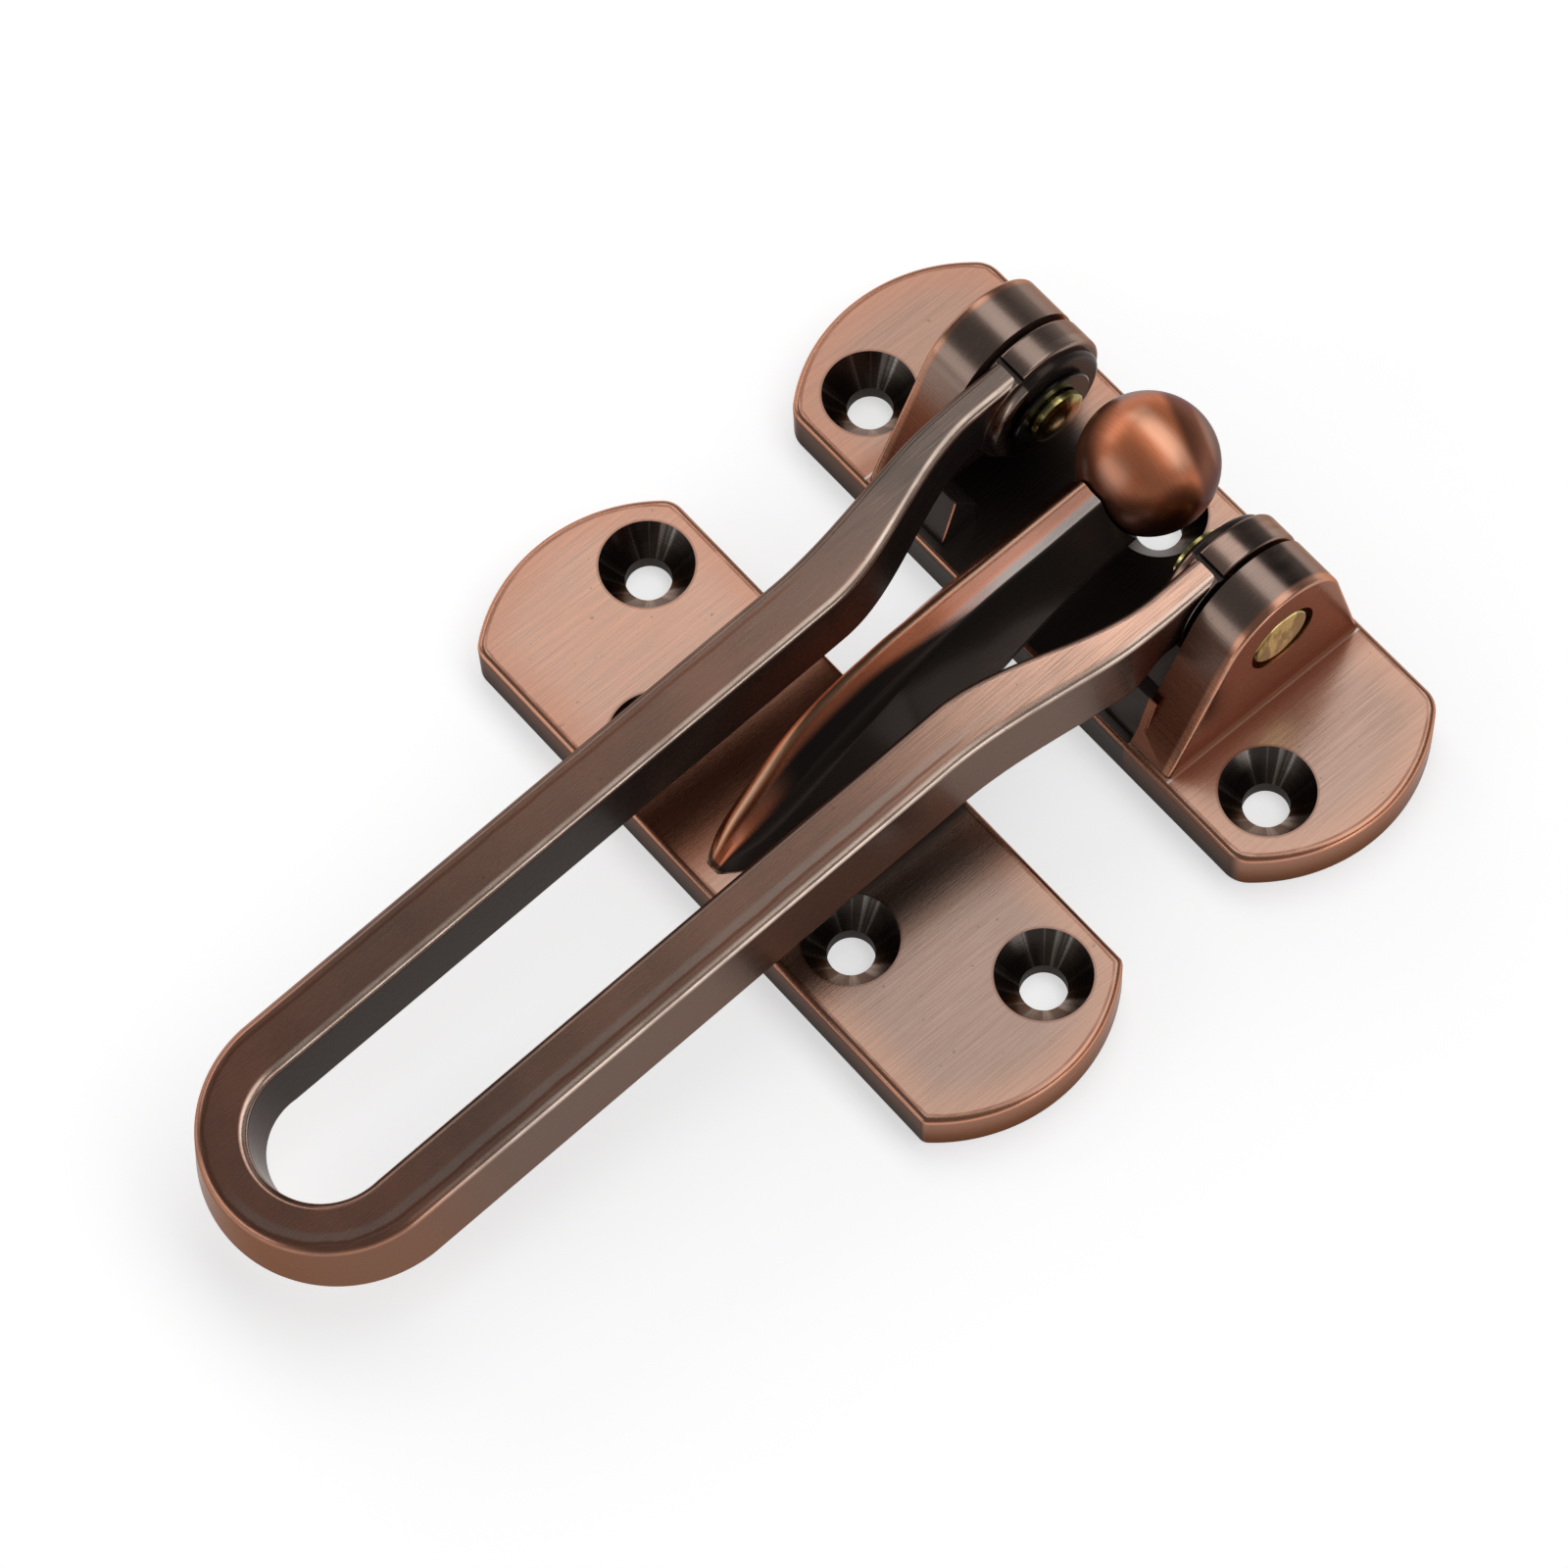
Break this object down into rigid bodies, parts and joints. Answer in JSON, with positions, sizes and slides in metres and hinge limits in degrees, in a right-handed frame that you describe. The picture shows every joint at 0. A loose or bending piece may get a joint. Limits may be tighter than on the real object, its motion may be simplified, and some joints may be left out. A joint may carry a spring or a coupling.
{
  "type": "swing bar door guard",
  "caption": "Swing bar door guard: a U-shaped bar hinged on the frame plate closes over a ball on the curved arm of the door plate, so the door opens only a little.",
  "frame": {"origin": "on the hinge plate's underside, the plane both plates are screwed to, midway between its two end screw holes", "axes": "+Z away from the door and its frame, +X along both plates, -Y from the hinge pins towards the door plate and the bar's closed end"},
  "size_m": [0.08, 0.1289, 0.026],
  "materials": {
    "hinge_plate": "brushed antique copper plating on a zinc casting, dark in the recesses",
    "swing_bar": "brushed antique copper plating on a zinc casting, dark on the inner walls",
    "hinge_pins": "polished",
    "pin_washers": "black, polished",
    "door_plate": "brushed antique copper plating on a zinc casting, dark in the recesses",
    "ball": "satin copper plating with turned brush lines",
    "ball_stud": "plain steel"
  },
  "bodies": {
    "hinge_side": {"hinge_plate": "hinge_plate", "hinge_pin_left": "hinge_pins", "hinge_pin_right": "hinge_pins", "pin_washer_left": "pin_washers", "pin_washer_right": "pin_washers"},
    "bar": {"swing_bar": "swing_bar"},
    "door_side": {"door_plate": "door_plate", "ball": "ball", "ball_stud": "ball_stud"}
  },
  "joints": [
    {"name": "bar_swing", "type": "hinge", "parent": "hinge_side", "child": "bar", "pos_m": [0, 0.0082, 0.01745], "axis": [-1, 0, 0], "range_deg": [-3.5, 189]},
    {"name": "door_opening", "type": "slide", "parent": "hinge_side", "child": "door_side", "axis": [0, -1, 0], "range_m": [0, 0.025]}
  ]
}
